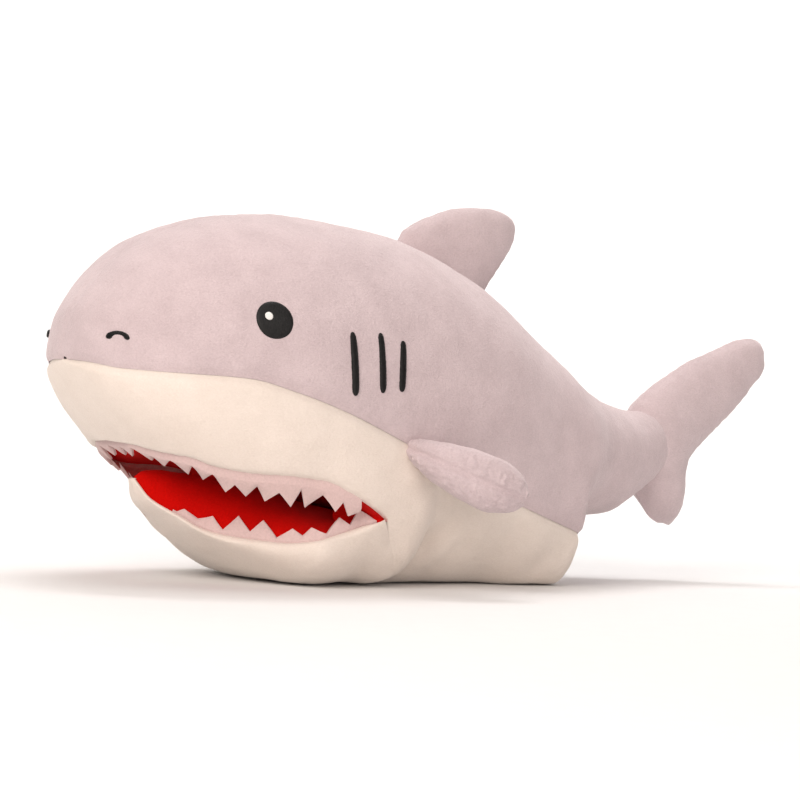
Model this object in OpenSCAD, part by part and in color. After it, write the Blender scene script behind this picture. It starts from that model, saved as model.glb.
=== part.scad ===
// Plush shark: a stuffed toy with an open mouth, felt teeth and sewn-on fins.
// Frame: the nose points to -Y and the tail to +Y, the shark's own left side is +X, +Z is up.
// Origin: the middle of the bounding box, on the surface that the toy lies on.

/* [Toy] */
// Overall length from the nose to the tip of the tail fin
toy_length = 450; // [300:10:600]

/* [Fabric] */
// Thickness of the plush panels
plush_t = 2; // [1.5:0.1:2.4]
// Thickness of the felt teeth and of the mouth lining
felt_t = 1.5; // [1:0.1:1.6]
// Air between neighbouring pieces
gap = 0.3; // [0.2:0.05:0.4]
// Air between the filling and the cloth round it
fill_gap = 2.2; // [1.8:0.1:2.4]

/* [Mouth] */
// Height of a tooth below the upper lip, band included
upper_tooth_h = 12; // [6:0.5:12]
// Number of teeth along the upper lip, both sides together
upper_tooth_count = 24; // [16:2:32]
// Height of a tooth above the lower lip, band included
lower_tooth_h = 9; // [5:0.5:10]
// Number of teeth on each side of the lower lip
lower_tooth_count = 8; // [4:1:9]
// Height of the felt band that the teeth grow from
tooth_band = 4; // [1:0.5:4]
// How far the middle of the palate rises above its edges
palate_rise = 10; // [6:1:12]

/* [Embroidery] */
// Diameter of an eye
eye_d = 18; // [14:1:22]
// Diameter of the white spot in an eye
glint_d = 4.5; // [3:0.5:6]
// Width of a gill stitch
gill_w = 3.6; // [2:0.2:5]
// Thickness of the embroidery
thread_t = 1.2; // [0.8:0.1:1.5]

/* [Hidden] */

// The stations below are for a 450 mm toy, and every module scales them together
size = toy_length / 450;

// Heights are measured from a level this far above the floor that the toy rests on
rest_height = 4;

// Trunk stations: [y, half width, top, bottom, height of the widest place]
// The bottom runs a little under the floor where the belly is pressed flat
trunk = [
    [-225, 72, 172, 0, 99], [-170, 74, 175, 0, 96], [-110, 76, 176, -7, 92], [-55, 74, 171, -10, 86],
    [-5, 67, 154, -10, 80], [40, 54, 127, -11, 74], [54, 51, 119, -11, 72], [62, 49.5, 114, -5, 71],
    [66, 48, 112, 11, 70], [69, 46.5, 110, 26, 69], [79, 41, 105, 29, 68], [105, 31, 94, 29, 65],
    [121, 25, 91, 35, 64], [136, 19, 90, 42, 65]
];
nose_y = -225;
nose_z = 99;
// Where the rounding of the nose has reached its full section
full_y = -110;
nose_top_n = 2.25;
nose_bottom_n = 1.3;
nose_side_n = 2.3;
section_n = 2.2;
// The smallest share of the full section, right at the nose
nose_share = 0.02;
// Length over which the inner faces move back from the nose
nose_wall = 50;

// Colour seam between the grey back and the cream belly: [y, z]
seam = [
    [-225, 99], [-215, 96], [-165, 94.5], [-140, 89], [-110, 80], [-78, 68], [-30, 49], [10, 37],
    [47, 26.5], [66, 21]
];
// Upper lip: [y, z], from the middle of the snout to the mouth corner
lip = [
    [-200, 62.5], [-185, 58.5], [-168, 54], [-150, 50], [-134, 48.5], [-118, 46], [-107, 42.5],
    [-98, 38.5], [-84, 31]
];
lip_front = -200;
corner_y = -84;
corner_z = 31;
// The cream belly panel ends here
belly_end = 66;

// Jaw stations, pointed in front: [y, half width, lip height, bottom]
jaw = [
    [-185, 2.5, 44.5, 41], [-180, 9, 36, 32], [-168, 17.5, 28, 21.5], [-157, 25, 21.5, 14],
    [-147, 33.5, 19, 8.5], [-138, 43, 18, 4.5], [-130, 52, 17.5, 0.5], [-121, 60, 18.8, -3.5],
    [-113, 64.5, 20.6, -6], [-100, 65.5, 24, -8], [-84, 62, 30, -8]
];
jaw_front = -185;
// The jaw's section is pointed in front and flatter behind
jaw_front_n = 1.7;
jaw_back_n = 2.3;
jaw_blunt_start = -150;
jaw_blunt_end = -115;
// The jaw widens quickly, so its walls take this much more width than thickness
jaw_flare = 1.3;
// Middle of the padded tongue: [y, z]
tongue = [[-176, 41], [-160, 43.5], [-146, 43], [-125, 40], [-105, 35.5], [-84, 32], [-66, 30]];
// The back of the jaw is rounded about the hinge through the mouth corners
jaw_knuckle_r = 34.5;
jaw_knuckle_slope = 1 / 6;
knuckle_gap = 2.2;

// Bends of the tail: upright axes in the middle plane
sway_y = 108;
sway_r = 31;
fin_bend_y = 140;
fin_bend_r = 20;
bend_gap = 0.5;

// Rounding of a fin's root about the line that it bends on
fin_root_r = 5;

grey = "#d9cdce";
cream = "#ece2d8";
red = "#c8170d";
felt = "#ead9d7";
thread = "#141214";
white = "#f6f4f2";
filling = "#f2f0ea";

// ---------- curves ----------

function lerp(a, b, t) = a + (b - a) * t;
function clamp(v, lo, hi) = min(max(v, lo), hi);
function spow(v, e) = sign(v) * pow(abs(v), e);

// Slope of column c between stations i and i + 1
function secant(tab, i, c) = (tab[i + 1][c] - tab[i][c]) / (tab[i + 1][0] - tab[i][0]);
// Slope at station i that keeps the curve from overshooting
function slope(tab, i, c) =
    i == 0 ? secant(tab, 0, c) :
    i == len(tab) - 1 ? secant(tab, i - 1, c) :
    let (a = secant(tab, i - 1, c), b = secant(tab, i, c))
    let (ha = tab[i][0] - tab[i - 1][0], hb = tab[i + 1][0] - tab[i][0])
    a * b <= 0 ? 0 : 3 * (ha + hb) / ((2 * hb + ha) / a + (hb + 2 * ha) / b);
function span_of(tab, y, i = 0) = i >= len(tab) - 2 || y < tab[i + 1][0] ? i : span_of(tab, y, i + 1);
// Smooth curve through column c of a station table, held flat past its ends
function curve(tab, y, c) =
    let (v = clamp(y, tab[0][0], tab[len(tab) - 1][0]))
    let (i = span_of(tab, v), h = tab[i + 1][0] - tab[i][0], t = (v - tab[i][0]) / h)
    (2 * t * t * t - 3 * t * t + 1) * tab[i][c] + (t * t * t - 2 * t * t + t) * h * slope(tab, i, c)
    + (3 * t * t - 2 * t * t * t) * tab[i + 1][c] + (t * t * t - t * t) * h * slope(tab, i + 1, c);
// Share of the full section at y, rounded from y0 to y1
function rounding(y, y0, y1, n) =
    let (s = clamp((y - y0) / (y1 - y0), 0, 1))
    max(pow(1 - pow(1 - s, n), 1 / n), nose_share);

// ---------- trunk surface ----------

// Section at y, moved inwards by d: [half width, top, bottom, widest height]
function section(y, d) =
    let (low = rounding(y, nose_y + d, full_y, nose_bottom_n))
    [
        (curve(trunk, y, 1) - d) * rounding(y, nose_y + d, full_y, nose_side_n),
        nose_z + (curve(trunk, y, 2) - d - nose_z) * rounding(y, nose_y + d, full_y, nose_top_n),
        nose_z + (curve(trunk, y, 3) + d - nose_z) * low,
        nose_z + (curve(trunk, y, 4) - nose_z) * low
    ];
function moved_y(y, d) = y + d * max(0, 1 - (y - nose_y) / nose_wall);
// Point of the trunk at angle a from the top, 90 at the left and 180 at the bottom
function trunk_pt(y, a, d) =
    let (v = moved_y(y, d), s = section(v, d))
    [
        s[0] * spow(sin(a), 2 / section_n),
        v,
        s[3] + (cos(a) > 0 ? s[1] - s[3] : s[3] - s[2]) * spow(cos(a), 2 / section_n)
    ];
// Angle at which the section at y has height z
function angle_at(y, z, d = 0) =
    let (s = section(moved_y(y, d), d))
    z >= s[3] ? acos(pow(clamp((z - s[3]) / (s[1] - s[3]), 0, 1), section_n / 2)) :
    180 - acos(pow(clamp((s[3] - z) / (s[3] - s[2]), 0, 1), section_n / 2));
function seam_angle(y) = y > belly_end ? 180 : angle_at(y, curve(seam, y, 1));
function lip_angle(y) = y < lip_front ? 180 : angle_at(y, curve(lip, y, 1));
// A point kept at least z above the floor
function floor_clear(p, z) = [p[0], p[1], max(p[2], z - rest_height)];
function off_middle(p) = [max(p[0], gap / 2), p[1], p[2]];

// ---------- solids from grids ----------

// Closed thin solid between an outer and an inner grid of points
module patch(outer, inner) {
    rows = len(outer);
    cols = len(outer[0]);
    n = rows * cols;
    points = concat([for (r = outer) each r], [for (r = inner) each r]);
    quads = [for (i = [0 : rows - 2], j = [0 : cols - 2])
        [i * cols + j, (i + 1) * cols + j, (i + 1) * cols + j + 1, i * cols + j + 1]];
    rim = concat(
        [for (j = [0 : cols - 2]) [j, j + 1]],
        [for (i = [0 : rows - 2]) [i * cols + cols - 1, (i + 1) * cols + cols - 1]],
        [for (j = [cols - 1 : -1 : 1]) [(rows - 1) * cols + j, (rows - 1) * cols + j - 1]],
        [for (i = [rows - 1 : -1 : 1]) [i * cols, (i - 1) * cols]]
    );
    polyhedron(points, concat(
        [for (q = quads) each [[q[0], q[1], q[2]], [q[0], q[2], q[3]]]],
        [for (q = quads) each [[n + q[0], n + q[2], n + q[1]], [n + q[0], n + q[3], n + q[2]]]],
        [for (e = rim) each [[e[0], e[1], n + e[1]], [e[0], n + e[1], n + e[0]]]]
    ));
}

// Closed solid through a row of rings with equal numbers of points
module loft(rings) {
    rows = len(rings);
    cols = len(rings[0]);
    polyhedron([for (r = rings) each r], concat(
        [[for (j = [0 : cols - 1]) j]],
        [[for (j = [cols - 1 : -1 : 0]) (rows - 1) * cols + j]],
        [for (i = [0 : rows - 2], j = [0 : cols - 1])
            let (k = (j + 1) % cols)
            each [
                [i * cols + j, (i + 1) * cols + j, (i + 1) * cols + k],
                [i * cols + j, (i + 1) * cols + k, i * cols + k]
            ]]
    ));
}

module sized() {
    scale(size) translate([0, 0, rest_height]) children();
}

module flip_side(side) {
    mirror([side < 0 ? 1 : 0, 0, 0]) children();
}

// ---------- head and trunk ----------

nose_rows = [-225, -223.5, -220, -214, -206, -200, -191, -180, -168, -154, -136, -116, -100];
trunk_rows = [-84, -60, -35, -10, 15, 40, 51, 58, 62, 66];
rear_rows = [69, 79, 90, 100];

// Air round the knuckle of the jaw, up to a little above the mouth corner
module knuckle_space(extra) {
    width = 200;
    deep = 60;
    above = 3;
    intersection() {
        translate([-width / 2, corner_y, corner_z])
            rotate([0, 90, 0]) cylinder(h = width, r = jaw_knuckle_r + knuckle_gap + extra, $fn = 64);
        translate([-width / 2, corner_y - deep, corner_z - deep]) cube([width, 2 * deep, deep + above]);
    }
}

// Upright round space about a bend of the tail
module bend_space(y, r) {
    tall = 200;
    translate([0, y, -tall / 4]) cylinder(h = tall, r = r, $fn = 64);
}

// Grey panel of one side, from the middle seam down to the colour seam
module back_cover(side) {
    steps = 9;
    rows = concat(nose_rows, trunk_rows, rear_rows);
    difference() {
        flip_side(side) patch(
            [for (y = rows) [for (j = [0 : steps]) off_middle(trunk_pt(y, seam_angle(y) * j / steps, 0))]],
            [for (y = rows)
                [for (j = [0 : steps]) off_middle(trunk_pt(y, seam_angle(y) * j / steps, plush_t))]]
        );
        bend_space(sway_y, sway_r + bend_gap);
    }
}

// Cream panel of one side, between the colour seam and the mouth
module upper_lip_cover(side) {
    steps = 4;
    edge = 0.6;
    rows = concat(nose_rows, [corner_y - gap / 2]);
    function a(y, j) = lerp(min(seam_angle(y) + edge, 179), lip_angle(y), j / steps);
    flip_side(side) patch(
        [for (y = rows) [for (j = [0 : steps]) off_middle(trunk_pt(y, a(y, j), 0))]],
        [for (y = rows) [for (j = [0 : steps]) off_middle(trunk_pt(y, a(y, j), plush_t))]]
    );
}

// Cream panel round the belly, open in front for the jaw and flat where it lies
module belly_panel() {
    steps = 16;
    edge = 0.6;
    rows = concat([corner_y + gap / 2], [for (y = trunk_rows) if (y > corner_y) y]);
    below = 20;
    function a(y, j) = 180 + (180 - seam_angle(y) - edge) * (2 * j / steps - 1);
    difference() {
        patch(
            [for (y = rows) [for (j = [0 : steps]) trunk_pt(y, a(y, j), 0)]],
            [for (y = rows) [for (j = [0 : steps]) floor_clear(trunk_pt(y, a(y, j), plush_t), plush_t)]]
        );
        knuckle_space(0);
        translate([-100, -200, -below - rest_height]) cube([200, 400, below]);
    }
}

// Edge of the palate at y: [half width, height]
function palate_edge(y, d) =
    let (p = trunk_pt(y, lip_angle(y), plush_t + d)) [p[0], curve(lip, y, 1) + 1];
// Half width from which the palate has its full rise
palate_full_half = 55;
// Height of the palate at share t across, from -1 to 1
function palate_z(y, t) =
    let (e = palate_edge(y, gap), fade = y > corner_y ? 0.25 : 1)
    e[1] + palate_rise * fade * min(1, e[0] / palate_full_half) * (1 - t * t);

module palate_sheet() {
    steps = 8;
    rows = [-190, -185, -177, -164, -148, -130, -112, -98, -86];
    inset = 2.4;
    function across(y, j, up) =
        let (t = 2 * j / steps - 1) [palate_edge(y, inset)[0] * t, y, palate_z(y, t) + up];
    patch(
        [for (y = rows) [for (j = [0 : steps]) across(y, j, felt_t)]],
        [for (y = rows) [for (j = [0 : steps]) across(y, j, 0)]]
    );
}

// Filling of the head, hollowed over the palate
module head_fill() {
    arc_steps = 9;
    flat_steps = 6;
    d = plush_t + fill_gap;
    hollow_y = -193;
    widest_arc = 172;
    rows = [-225, -222, -217, -210, -200, hollow_y, -187, -178, -164, -148, -130, -112, -98, -84, -61];
    function low(y) = y < hollow_y ? widest_arc :
        min(widest_arc, angle_at(y, curve(lip, y, 1) + 1 + felt_t + fill_gap, d));
    function side_pt(y, j, s) = let (p = trunk_pt(y, low(y) * j / arc_steps, d)) [p[0] * s, p[1], p[2]];
    function roof_pt(y, j) =
        let (t = 1 - 2 * j / flat_steps, e = side_pt(y, arc_steps, 1))
        [e[0] * t, e[1], y < hollow_y ? e[2] : palate_z(y, t) + felt_t + fill_gap];
    loft([for (y = rows) concat(
        [for (j = [0 : arc_steps]) side_pt(y, j, 1)],
        [for (j = [1 : flat_steps - 1]) roof_pt(y, j)],
        [for (j = [arc_steps : -1 : 1]) side_pt(y, j, -1)]
    )]);
}

// Filling of the trunk, behind the jaw and in front of the tail
module body_fill() {
    steps = 22;
    d = plush_t + fill_gap;
    rows = concat([-60], [for (y = trunk_rows) if (y > -60) y], rear_rows);
    // Drawn in further where the cover closes behind the belly panel
    close_y = belly_end + 1;
    close_length = 11;
    close_inset = 6;
    function inward(y) = d + close_inset * max(0, 1 - abs(y - close_y) / close_length);
    difference() {
        loft([for (y = rows) [for (j = [0 : steps - 1])
            floor_clear(trunk_pt(y, 360 * j / steps, inward(y)), d)]]);
        knuckle_space(fill_gap);
        bend_space(sway_y, sway_r + bend_gap + fill_gap);
    }
}

// Zigzag strip of felt, with one column of points for every tip and every valley:
// edge is the sewn edge, across the direction through the felt, drops the heights
module tooth_strip(edge, across, drops) {
    up = felt_t / 2;
    cols = len(edge);
    patch(
        [[for (k = [0 : cols - 1]) edge[k] + across[k] * up],
         [for (k = [0 : cols - 1]) edge[k] + across[k] * up + [0, 0, drops[k]]]],
        [[for (k = [0 : cols - 1]) edge[k] - across[k] * up],
         [for (k = [0 : cols - 1]) edge[k] - across[k] * up + [0, 0, drops[k]]]]
    );
}
function flat_normal(a, b) = let (v = b - a, l = norm([v[0], v[1]])) [v[1] / l, -v[0] / l, 0];
function strip_normals(edge) = [for (k = [0 : len(edge) - 1])
    flat_normal(edge[max(k - 1, 0)], edge[min(k + 1, len(edge) - 1)])];

module upper_tooth_strip() {
    n = 2 * upper_tooth_count;
    back = corner_y - 11;
    // The teeth nearest the mouth corners are this much shorter
    corner_ease = 0.3;
    function tip(t) = upper_tooth_h * (1 - corner_ease * pow(abs(t), 6));
    function y_of(t) = lip_front + 2 + (back - lip_front - 2) * (1 - cos(90 * abs(t)));
    function edge_pt(t) =
        let (y = y_of(t), p = trunk_pt(y, lip_angle(y), plush_t / 2 + 0.2))
        [p[0] * sin(min(90, 900 * abs(t))) * sign(t), y, curve(lip, y, 1) - 2 * gap];
    edge = [for (k = [0 : n]) edge_pt(2 * k / n - 1)];
    tooth_strip(edge, strip_normals(edge), 
        [for (k = [0 : n]) k % 2 == 0 ? -tooth_band : -tip(2 * k / n - 1)]);
}

// ---------- embroidery ----------

function unit(v) = v / norm(v);
// Placement on the left side at height z: local Z points outwards and local Y up along the cloth
function on_side(y, z, lift) =
    let (a = angle_at(y, z), p = trunk_pt(y, a, 0))
    let (up = unit(trunk_pt(y, a - 1, 0) - trunk_pt(y, a + 1, 0)))
    let (back = unit(trunk_pt(y + 1, a, 0) - trunk_pt(y - 1, a, 0)))
    let (n = unit(cross(back, up)), x = cross(up, n), q = p + n * lift)
    [[x[0], up[0], n[0], q[0]], [x[1], up[1], n[1], q[1]], [x[2], up[2], n[2], q[2]], [0, 0, 0, 1]];

eye_place = [-153, 122];
nostril_place = [-215, 110];
// Gill stitches: [y, z, length]
gills = [[-111, 104, 30], [-95, 105, 28], [-82.5, 104, 24]];
thread_lift = 0.15;

module eye(side) {
    flip_side(side) multmatrix(on_side(eye_place[0], eye_place[1], thread_lift))
        cylinder(h = thread_t, d = eye_d, $fn = 48);
}
module eye_glint(side) {
    aside = eye_d / 6;
    flip_side(side) multmatrix(on_side(eye_place[0], eye_place[1], thread_lift + thread_t + 0.05))
        translate([-aside, aside / 3, 0]) cylinder(h = thread_t / 2, d = glint_d, $fn = 32);
}
module nostril(side) {
    arch_r = 3.5;
    arch_w = 1.8;
    flip_side(side) multmatrix(on_side(nostril_place[0], nostril_place[1], thread_lift + 0.2))
        difference() {
            cylinder(h = thread_t, r = arch_r, $fn = 40);
            translate([0, 0, -1]) cylinder(h = thread_t + 2, r = arch_r - arch_w, $fn = 32);
            translate([-2 * arch_r, -2 * arch_r - 1, -1]) cube([4 * arch_r, 2 * arch_r, thread_t + 2]);
        }
}
module gill_stitches(side) {
    flip_side(side) for (g = gills)
        multmatrix(on_side(g[0], g[1], thread_lift + 0.3)) {
            translate([-gill_w / 2, -g[2] / 2 + gill_w / 2, 0]) cube([gill_w, g[2] - gill_w, thread_t]);
            for (e = [-1, 1])
                translate([0, e * (g[2] - gill_w) / 2, 0]) cylinder(h = thread_t, d = gill_w, $fn = 24);
        }
}

// ---------- jaw ----------

function jaw_n(y) = lerp(jaw_front_n, jaw_back_n,
    clamp((y - jaw_blunt_start) / (jaw_blunt_end - jaw_blunt_start), 0, 1));
// Jaw section at y, moved inwards by d: [half width, lip height, bottom]
function jaw_section(y, d) =
    let (w = max(curve(jaw, y, 1) - d * jaw_flare, 0.5))
    let (back = max(0, y - corner_y))
    let (top = curve(jaw, y, 2) - back * jaw_knuckle_slope)
    let (deep = back > 0 ? corner_z - sqrt(max(0, pow(jaw_knuckle_r, 2) - back * back)) :
        curve(jaw, y, 3))
    [w, top, min(deep + d, top - 0.5)];
jaw_wall = 30;
function jaw_moved_y(y, d) = y + d * max(0, 1 - (y - jaw_front) / jaw_wall);
// Point of the jaw at angle a from the left lip, 90 at the bottom; drop lowers the lip
function jaw_pt(y, a, d, drop = 0, narrow = 0) =
    let (v = jaw_moved_y(y, d), s = jaw_section(v, d), n = jaw_n(v))
    floor_clear([
        (s[0] - narrow) * spow(cos(a), 2 / n),
        v,
        s[1] - drop - max(s[1] - drop - s[2], 0.2) * pow(sin(a), 2 / n)
    ], d);

jaw_rows = [
    -185, -183.5, -180, -174, -168, -157, -147, -138, -130, -121, -112, -98, -84, -76, -68, -60, -53
];

module jaw_shell() {
    steps = 14;
    patch(
        [for (y = jaw_rows) [for (j = [0 : steps]) jaw_pt(y, 180 * (1 - j / steps), 0)]],
        [for (y = jaw_rows) [for (j = [0 : steps]) jaw_pt(y, 180 * (1 - j / steps), plush_t)]]
    );
}

// Air kept between the jaw's rim and the tongue, for the teeth
tongue_inset = 3;
function tongue_half(y) = jaw_section(y, plush_t)[0] - tongue_inset;
function tongue_edge(y) = jaw_section(y, plush_t)[1] + 0.5;
function tongue_rise(y) = max(curve(tongue, y, 1) - tongue_edge(y), 1);
function tongue_z(y, t) = tongue_edge(y) + tongue_rise(y) * (1 - t * t);

module tongue_sheet() {
    steps = 8;
    rows = [-172, -166, -158, -148, -136, -122, -106, -88, -72];
    function across(y, j, up) = let (t = 2 * j / steps - 1) [tongue_half(y) * t, y, tongue_z(y, t) + up];
    patch(
        [for (y = rows) [for (j = [0 : steps]) across(y, j, 0)]],
        [for (y = rows) [for (j = [0 : steps]) across(y, j, -felt_t)]]
    );
}

module jaw_fill() {
    arc_steps = 12;
    flat_steps = 6;
    d = plush_t + fill_gap;
    inset = 3.4;
    rows = [-158, -152, -145, -136, -122, -106, -88, -74, -64];
    drop = felt_t + fill_gap;
    function low_pt(y, j) = jaw_pt(y, 180 * j / arc_steps, d, drop, inset);
    function top_pt(y, j) =
        let (e = low_pt(y, 0), t = 2 * j / flat_steps - 1)
        [e[0] * t, e[1], e[2] + (tongue_rise(e[1]) - 0.5) * (1 - t * t)];
    loft([for (y = rows) concat(
        [for (j = [0 : arc_steps]) low_pt(y, j)],
        [for (j = [1 : flat_steps - 1]) top_pt(y, j)]
    )]);
}

module lower_tooth_strips() {
    n = 2 * lower_tooth_count;
    y0 = -166;
    y1 = -96;
    inset = jaw_flare * (plush_t + gap + felt_t / 2);
    edge = [for (k = [0 : n])
        let (y = lerp(y0, y1, k / n), s = jaw_section(y, 0)) [s[0] - inset, y, s[1] + 0.5]];
    for (side = [1, -1])
        flip_side(side) tooth_strip(edge, strip_normals(edge),
            [for (k = [0 : n]) k % 2 == 0 ? tooth_band : lower_tooth_h]);
}

// ---------- fins ----------

// A fin is a row of lens-shaped sections in a plane: [front edge, back edge, half thickness].
// The first three are the root, rounded about the line from a to b that the fin bends on.
function root_rows(a, b) =
    let (v = unit(b - a), n = [-v[1], v[0]])
    [for (q = [12, 45, 90]) [a - n * fin_root_r * cos(q), b - n * fin_root_r * cos(q), fin_root_r * sin(q)]];
// Point of a section at angle q along it, 0 at the front edge and 180 at the back edge
function leaf_pt(row, q, side, d) =
    let (v = unit(row[1] - row[0]))
    let (a = row[0] + v * d, b = row[1] - v * d)
    let (p = lerp(a, b, (1 - cos(q)) / 2), x = (row[2] - d) * pow(sin(q), 2 / section_n))
    [side * max(x, gap / 2), p[0], p[1]];
// Sections moved inwards along the fin by about d
function inner_rows(rows, d) = let (last = len(rows) - 1)
    [for (i = [0 : last])
        let (r = rows[i], o = rows[i == last ? i - 1 : i + 1], share = i == 0 || i == last ? 0.3 : 0)
        [lerp(r[0], o[0], share), lerp(r[1], o[1], share), lerp(r[2], o[2], share)]];

module fin_panel(rows, side) {
    steps = 8;
    inner = inner_rows(rows, plush_t);
    patch(
        [for (r = rows) [for (j = [0 : steps]) leaf_pt(r, 180 * j / steps, side, 0)]],
        [for (r = inner) [for (j = [0 : steps]) leaf_pt(r, 180 * j / steps, side, plush_t)]]
    );
}
module fin_fill(rows) {
    steps = 8;
    d = plush_t + fill_gap;
    keep = [for (i = [1 : len(rows) - 2]) if (rows[i][2] > d + 0.5) rows[i]];
    loft([for (r = keep) concat(
        [for (j = [0 : steps]) leaf_pt(r, 180 * j / steps, 1, d)],
        [for (j = [steps : -1 : 0]) leaf_pt(r, 180 * j / steps, -1, d)]
    )]);
}

// Back fin, in the middle plane: positions are [y, z]
dorsal_root_front = [-33.5, 174.5];
dorsal_root_back = [22, 150];
dorsal_rows = concat(root_rows(dorsal_root_front, dorsal_root_back), [
    [[-27, 178.5], [26, 154], 9], [[-15, 184], [31, 160], 10.5], [[-4, 188], [35, 167], 9.5],
    [[8, 190.5], [38.5, 174.5], 8], [[18, 191], [39.5, 181], 5.5], [[25, 190.5], [37.5, 186], 2.8]
]);

// Pectoral fin, flat in its own plane: positions are [back along the trunk, out from the trunk]
pectoral_rows = concat(root_rows([-11, 0], [20, 0]), [
    [[-10, 6], [22, 4], 7], [[-5, 14], [26, 9], 9.8], [[4, 21.5], [31, 15], 11.6],
    [[14, 27.5], [36, 21], 11.2], [[24, 31.5], [40, 25.5], 8.5], [[32, 33.5], [42, 29], 5],
    [[36, 34], [42, 31.5], 2.8]
]);
pectoral_at = [78.5, -70, 60];
// Turns of the pectoral fin: down at its back, drooping outwards, closing in on the trunk
pectoral_pitch = -13;
pectoral_droop = 10;
pectoral_toe = 3.5;

// Tail fin, in the middle plane, from the upper tip to the lower tip: [y, z]
tail_fin_rows = [
    [[216, 132], [223, 129], 2.8], [[205, 131], [225, 119], 6], [[190, 125], [217, 106], 8.5],
    [[174, 118], [205, 92], 10.5], [[158, 109], [192, 79], 12.5], [[143, 100], [181, 69], 14.5],
    [[130, 91], [175, 62], 17], [[121.5, 76], [172, 57], 18], [[122.5, 62], [172, 51], 17],
    [[128, 50], [173, 45], 14], [[137, 43], [172, 38], 11], [[144, 36], [169, 32], 7],
    [[149.5, 30], [165, 28], 2.8]
];

module pectoral_frame(side) {
    flip_side(side) translate(pectoral_at)
        rotate([pectoral_pitch, pectoral_droop, pectoral_toe])
            multmatrix([[0, 0, 1, 0], [0, 1, 0, 0], [-1, 0, 0, 0], [0, 0, 0, 1]]) children();
}

// ---------- tail ----------

stem_rows = [77.5, 79, 82, 87, 94, 101, 108, 118, 127, 134];
// Half width allowed by the rounding about the sway axis
function sway_half(y, d) = y >= sway_y ? 1000 : sqrt(max(pow(sway_r - d, 2) - pow(y - sway_y, 2), 0.25));
function stem_pt(y, a, d) =
    let (v = y + d * max(0, 1 - (y - stem_rows[0]) / 20), p = trunk_pt(v, a, d))
    [sign(p[0]) * min(abs(p[0]), sway_half(v, d)), v, p[2]];

module tail_cover(side) {
    steps = 10;
    difference() {
        flip_side(side) patch(
            [for (y = stem_rows) [for (j = [0 : steps]) off_middle(stem_pt(y, 180 * j / steps, 0))]],
            [for (y = stem_rows) [for (j = [0 : steps]) off_middle(stem_pt(y, 180 * j / steps, plush_t))]]
        );
        bend_space(fin_bend_y, fin_bend_r + bend_gap);
    }
}
module tail_fill() {
    steps = 20;
    d = plush_t + fill_gap;
    difference() {
        loft([for (y = stem_rows) [for (j = [0 : steps - 1]) stem_pt(y, 360 * j / steps, d)]]);
        bend_space(fin_bend_y, fin_bend_r + bend_gap + fill_gap);
    }
}

// ---------- nodes ----------

module back_cover_left() { color(grey) sized() back_cover(1); }
module back_cover_right() { color(grey) sized() back_cover(-1); }
module upper_lip_cover_left() { color(cream) sized() upper_lip_cover(1); }
module upper_lip_cover_right() { color(cream) sized() upper_lip_cover(-1); }
module belly_cover() { color(cream) sized() belly_panel(); }
module palate_lining() { color(red) sized() palate_sheet(); }
module upper_teeth() { color(felt) sized() upper_tooth_strip(); }
module head_stuffing() { color(filling) sized() head_fill(); }
module body_stuffing() { color(filling) sized() body_fill(); }
module left_eye() { color(thread) sized() eye(1); }
module right_eye() { color(thread) sized() eye(-1); }
module left_eye_glint() { color(white) sized() eye_glint(1); }
module right_eye_glint() { color(white) sized() eye_glint(-1); }
module left_nostril() { color(thread) sized() nostril(1); }
module right_nostril() { color(thread) sized() nostril(-1); }
module left_gill_stitches() { color(thread) sized() gill_stitches(1); }
module right_gill_stitches() { color(thread) sized() gill_stitches(-1); }
module jaw_cover() { color(cream) sized() jaw_shell(); }
module tongue_lining() { color(red) sized() tongue_sheet(); }
module lower_teeth() { color(felt) sized() lower_tooth_strips(); }
module jaw_stuffing() { color(filling) sized() jaw_fill(); }
module dorsal_panel_left() { color(grey) sized() fin_panel(dorsal_rows, 1); }
module dorsal_panel_right() { color(grey) sized() fin_panel(dorsal_rows, -1); }
module dorsal_stuffing() { color(filling) sized() fin_fill(dorsal_rows); }
module left_pectoral_top_panel() { color(grey) sized() pectoral_frame(1) fin_panel(pectoral_rows, -1); }
module left_pectoral_bottom_panel() { color(grey) sized() pectoral_frame(1) fin_panel(pectoral_rows, 1); }
module left_pectoral_stuffing() { color(filling) sized() pectoral_frame(1) fin_fill(pectoral_rows); }
module right_pectoral_top_panel() { color(grey) sized() pectoral_frame(-1) fin_panel(pectoral_rows, -1); }
module right_pectoral_bottom_panel() { color(grey) sized() pectoral_frame(-1) fin_panel(pectoral_rows, 1); }
module right_pectoral_stuffing() { color(filling) sized() pectoral_frame(-1) fin_fill(pectoral_rows); }
module tail_cover_left() { color(grey) sized() tail_cover(1); }
module tail_cover_right() { color(grey) sized() tail_cover(-1); }
module tail_stuffing() { color(filling) sized() tail_fill(); }
module tail_fin_panel_left() { color(grey) sized() fin_panel(tail_fin_rows, 1); }
module tail_fin_panel_right() { color(grey) sized() fin_panel(tail_fin_rows, -1); }
module tail_fin_stuffing() { color(filling) sized() fin_fill(tail_fin_rows); }

back_cover_left();
back_cover_right();
upper_lip_cover_left();
upper_lip_cover_right();
belly_cover();
palate_lining();
upper_teeth();
head_stuffing();
body_stuffing();
left_eye();
right_eye();
left_eye_glint();
right_eye_glint();
left_nostril();
right_nostril();
left_gill_stitches();
right_gill_stitches();
jaw_cover();
tongue_lining();
lower_teeth();
jaw_stuffing();
dorsal_panel_left();
dorsal_panel_right();
dorsal_stuffing();
left_pectoral_top_panel();
left_pectoral_bottom_panel();
left_pectoral_stuffing();
right_pectoral_top_panel();
right_pectoral_bottom_panel();
right_pectoral_stuffing();
tail_cover_left();
tail_cover_right();
tail_stuffing();
tail_fin_panel_left();
tail_fin_panel_right();
tail_fin_stuffing();
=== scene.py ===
"""Looks of the plush shark: sewn plush skins, felt teeth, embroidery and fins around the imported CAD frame."""

import math

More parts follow.
